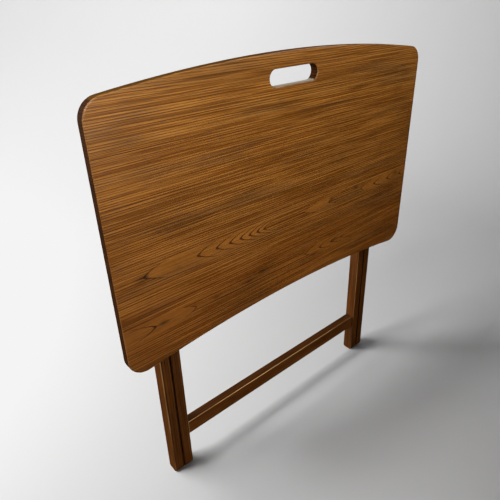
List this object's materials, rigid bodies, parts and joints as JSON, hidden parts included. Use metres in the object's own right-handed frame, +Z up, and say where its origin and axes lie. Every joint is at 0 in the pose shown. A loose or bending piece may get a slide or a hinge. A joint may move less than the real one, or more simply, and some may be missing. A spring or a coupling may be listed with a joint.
{
  "type": "folding tray table",
  "caption": "Folding tray table: a wooden board with a hand slot hangs against two nested leg frames that cross and open while the board swings up, slides back and lies level.",
  "frame": {"origin": "on the floor under the middle of the folded table, midway between its front and back; it leans back 2.5 degrees", "axes": "+X along the board's long edge, +Z up, +Y from the board's show face towards the leg frames behind it; stored folded"},
  "size_m": [0.65, 0.0625, 0.6844],
  "materials": {
    "tray_oak": "brown-stained oak with a satin varnish, grain along the board",
    "frame_wood": "dark brown stained wood, satin",
    "block_nylon": "moulded black",
    "plated_steel": "plated"
  },
  "bodies": {
    "pivot": {"pivot_bolt_left": "plated_steel", "pivot_head_washer_left": "plated_steel", "pivot_spacer_washer_left": "plated_steel", "pivot_nut_washer_left": "plated_steel", "pivot_nut_left": "plated_steel", "pivot_bolt_right": "plated_steel", "pivot_head_washer_right": "plated_steel", "pivot_spacer_washer_right": "plated_steel", "pivot_nut_washer_right": "plated_steel", "pivot_nut_right": "plated_steel"},
    "outer_frame": {"outer_leg_left": "frame_wood", "outer_leg_right": "frame_wood", "outer_top_dowel": "frame_wood"},
    "inner_frame": {"inner_leg_left": "frame_wood", "inner_leg_right": "frame_wood", "inner_top_dowel": "frame_wood", "inner_stretcher": "frame_wood", "stretcher_screw_low_left": "plated_steel", "stretcher_screw_high_left": "plated_steel", "stretcher_screw_low_right": "plated_steel", "stretcher_screw_high_right": "plated_steel"},
    "slide_blocks": {"slide_block_left": "block_nylon", "slide_block_right": "block_nylon"},
    "tray": {"tray_top": "tray_oak", "runner_left": "frame_wood", "runner_right": "frame_wood", "runner_screw_1_left": "plated_steel", "runner_screw_2_left": "plated_steel", "runner_screw_3_left": "plated_steel", "runner_screw_1_right": "plated_steel", "runner_screw_2_right": "plated_steel", "runner_screw_3_right": "plated_steel"}
  },
  "joints": [
    {"name": "leg_fold", "type": "hinge", "parent": "pivot", "child": "outer_frame", "pos_m": [0, 0.00666, 0.29971], "axis": [-1, 0, 0], "range_deg": [0, 24.5]},
    {"name": "inner_leg_fold", "type": "hinge", "parent": "pivot", "child": "inner_frame", "pos_m": [0, 0.00666, 0.29971], "axis": [1, 0, 0], "range_deg": [0, 29.5]},
    {"name": "tray_tilt", "type": "hinge", "parent": "inner_frame", "child": "slide_blocks", "pos_m": [0, 0.02047, 0.58171], "axis": [-1, 0, 0], "range_deg": [0, 117]},
    {"name": "tray_slide", "type": "slide", "parent": "slide_blocks", "child": "tray", "axis": [0, 0.0436, 0.999], "range_m": [0, 0.2274]}
  ],
  "couplings": [
    {"joint": "inner_leg_fold", "follows": "leg_fold", "ratio": 1.2041},
    {"joint": "tray_tilt", "follows": "leg_fold", "ratio": 4.7755},
    {"joint": "tray_slide", "follows": "leg_fold", "m_per_rad": 0.5316}
  ]
}
